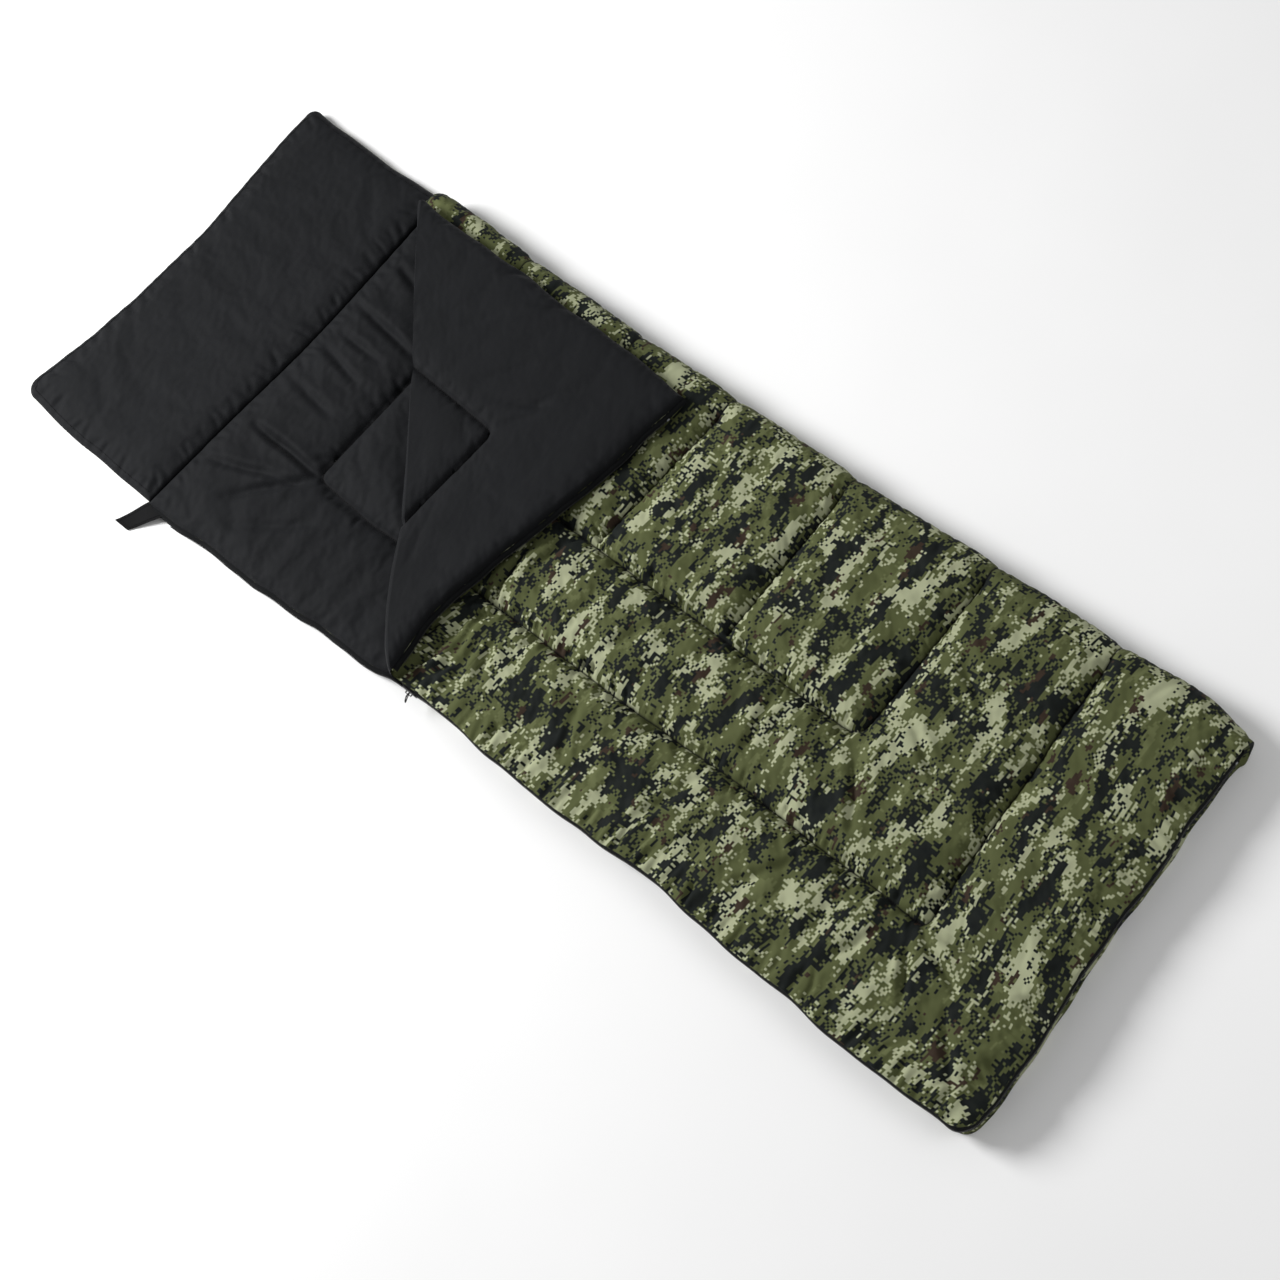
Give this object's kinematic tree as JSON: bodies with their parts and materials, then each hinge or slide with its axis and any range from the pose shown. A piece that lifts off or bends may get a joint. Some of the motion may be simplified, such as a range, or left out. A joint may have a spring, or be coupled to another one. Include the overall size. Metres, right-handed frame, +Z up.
{
  "type": "rectangular sleeping bag",
  "caption": "Rectangular quilted sleeping bag lying flat, digital-camouflage shell and black lining, mouth corner folded back, zip along side and foot, hood panel past the mouth.",
  "frame": {"origin": "on the floor, at the centre of the flat outline with the hood", "axes": "+Y towards the hood, +Z up, -X the zip side, +X the closed side"},
  "size_m": [0.8113, 2.2522, 0.1021],
  "materials": {
    "camo_shell": null,
    "black_lining": "matt black woven lining with a soft sheen",
    "insulation": "white polyester batting",
    "zip_tape": "black woven zip tape",
    "zip_coil": "black nylon coil",
    "zip_metal": "nickel-plated metal",
    "webbing": "black ribbed webbing",
    "thread": "black sewing thread"
  },
  "bodies": {
    "bottom": {"bottom_outer_shell": "camo_shell", "bottom_insulation": "insulation", "bottom_lining": "black_lining", "side_fold_shell_lower": "camo_shell", "side_fold_insulation_lower": "insulation", "side_fold_lining_lower": "black_lining", "zip_tape_bottom": "zip_tape", "zip_coil_bottom": "zip_coil", "zip_top_stop_bottom": "zip_metal", "zip_end_stop": "zip_metal", "tab_sewn_end": "webbing", "quilting_thread_bottom": "thread"},
    "top": {"top_outer_shell": "camo_shell", "top_insulation": "insulation", "top_lining": "black_lining", "side_fold_shell_upper": "camo_shell", "side_fold_insulation_upper": "insulation", "side_fold_lining_upper": "black_lining", "zip_tape_top": "zip_tape", "zip_coil_top": "zip_coil", "quilting_thread_top": "thread"},
    "flap": {"flap_outer_shell": "camo_shell", "flap_insulation": "insulation", "flap_lining": "black_lining", "zip_tape_flap": "zip_tape", "zip_coil_flap": "zip_coil", "zip_top_stop_flap": "zip_metal", "quilting_thread_flap": "thread"},
    "hood": {"hood_outer_shell": "camo_shell", "hood_insulation": "insulation", "hood_lining": "black_lining", "hood_topstitching": "thread"},
    "slider": {"slider_body": "zip_metal", "slider_bail": "zip_metal"},
    "pull": {"zip_pull": "zip_metal"},
    "tab": {"webbing_tab": "webbing"}
  },
  "joints": [
    {"name": "top_opening", "type": "hinge", "parent": "bottom", "child": "top", "pos_m": [0.375, 0, 0.034], "axis": [0, 1, 0], "range_deg": [0, 180]},
    {"name": "flap_fold", "type": "hinge", "parent": "top", "child": "flap", "pos_m": [0.341, 0.74, 0.06835], "axis": [-0.7373, -0.6756, 0], "range_deg": [0, 180]},
    {"name": "hood_fold", "type": "hinge", "parent": "bottom", "child": "hood", "pos_m": [0, 0.75225, 0.018], "axis": [1, 0, 0], "range_deg": [0, 85]},
    {"name": "slider_travel", "type": "slide", "parent": "bottom", "child": "slider", "axis": [0, 1, 0], "range_m": [-1.19, 0.585]},
    {"name": "pull_swing", "type": "hinge", "parent": "slider", "child": "pull", "pos_m": [-0.3816, 0.08891, 0.034], "axis": [0, 0, 1], "range_deg": [-80, 80]},
    {"name": "tab_fold", "type": "hinge", "parent": "bottom", "child": "tab", "pos_m": [-0.3804, 0.726, 0.009], "axis": [0, 1, 0], "range_deg": [0, 90]}
  ]
}
